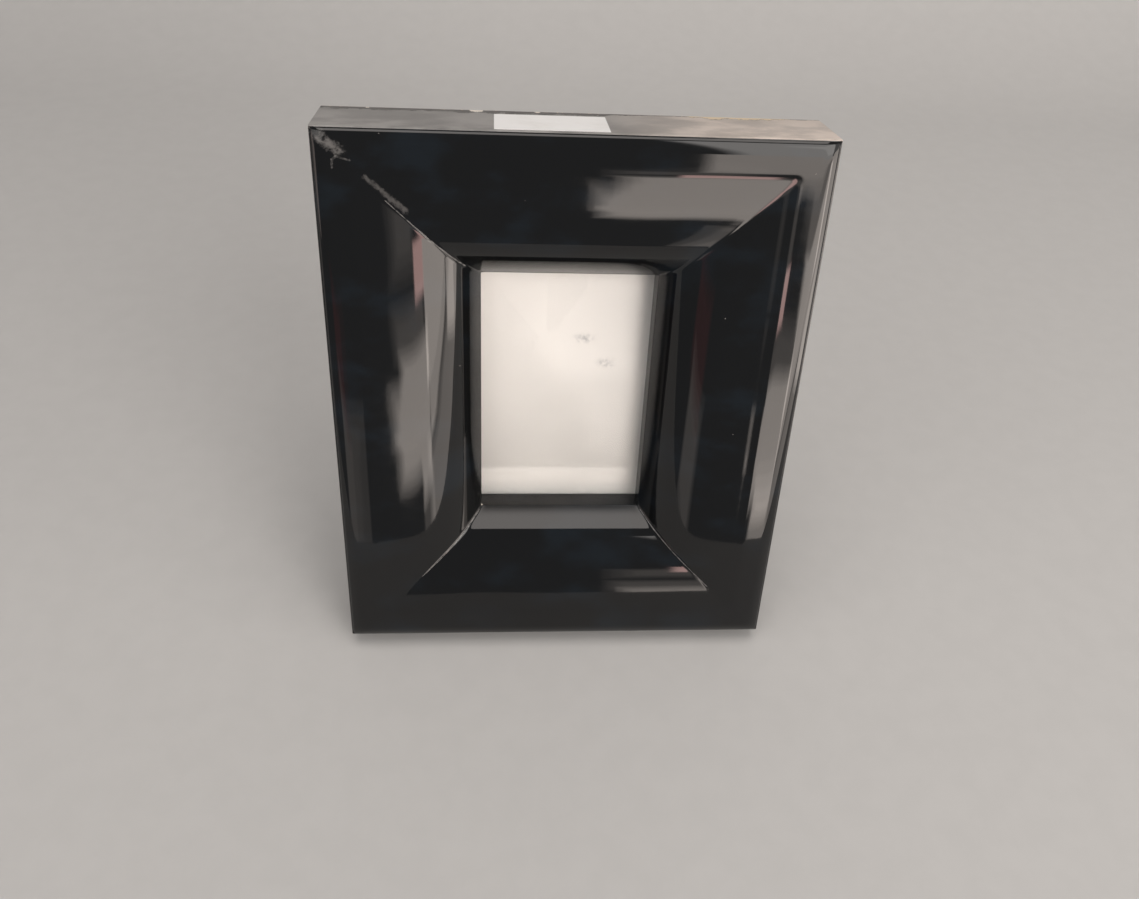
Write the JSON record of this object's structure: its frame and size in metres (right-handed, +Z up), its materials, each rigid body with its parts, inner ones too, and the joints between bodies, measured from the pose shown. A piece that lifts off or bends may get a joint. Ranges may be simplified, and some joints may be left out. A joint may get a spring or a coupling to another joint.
{
  "type": "picture frame",
  "caption": "Free-standing portrait picture frame with wide black lacquered rails, a deep stepped section, glazing and a folding back strut.",
  "frame": {"origin": "middle of the footprint, on the table under the frame", "axes": "+Z up, -Y out of the frame's face towards the viewer, +X to the viewer's right; the face leans back 13 degrees from upright"},
  "size_m": [0.24, 0.1348, 0.2915],
  "materials": {
    "black_lacquer": "high-gloss black lacquer over wood, slightly wavy",
    "clear_glass": "clear float glass",
    "white_paper": "plain off-white sheet with faint grey smudges",
    "black_board": "fibreboard with a black flocked covering",
    "brassed_steel": "brass-plated pressed steel",
    "bright_steel": "bright zinc-plated sheet steel",
    "label_paper": "matt white label, blank"
  },
  "bodies": {
    "frame": {"rail_top": "black_lacquer", "rail_bottom": "black_lacquer", "rail_left": "black_lacquer", "rail_right": "black_lacquer", "corner_nails": "bright_steel", "glass_pane": "clear_glass", "paper_insert": "white_paper", "backing_board": "black_board", "button_screws": "brassed_steel", "hinge_bracket": "bright_steel", "bracket_rivets": "bright_steel", "hinge_pin": "bright_steel", "top_label": "label_paper"},
    "strut": {"strut": "black_board", "strut_leaf": "bright_steel", "leaf_rivets": "bright_steel"},
    "button_upper_left": {"button_upper_left": "brassed_steel"},
    "button_upper_right": {"button_upper_right": "brassed_steel"},
    "button_lower_left": {"button_lower_left": "brassed_steel"},
    "button_lower_right": {"button_lower_right": "brassed_steel"}
  },
  "joints": [
    {"name": "strut_fold", "type": "hinge", "parent": "frame", "child": "strut", "pos_m": [0, 0.01876, 0.18344], "axis": [-1, 0, 0], "range_deg": [0, 26]},
    {"name": "turn_upper_left", "type": "hinge", "parent": "frame", "child": "button_upper_left", "pos_m": [-0.0605, 0.01587, 0.18513], "axis": [0, 0.9744, -0.225], "continuous": true},
    {"name": "turn_upper_right", "type": "hinge", "parent": "frame", "child": "button_upper_right", "pos_m": [0.0605, 0.01587, 0.18513], "axis": [0, 0.9744, -0.225], "continuous": true},
    {"name": "turn_lower_left", "type": "hinge", "parent": "frame", "child": "button_lower_left", "pos_m": [-0.0605, -0.00438, 0.09744], "axis": [0, 0.9744, -0.225], "continuous": true},
    {"name": "turn_lower_right", "type": "hinge", "parent": "frame", "child": "button_lower_right", "pos_m": [0.0605, -0.00438, 0.09744], "axis": [0, 0.9744, -0.225], "continuous": true}
  ]
}
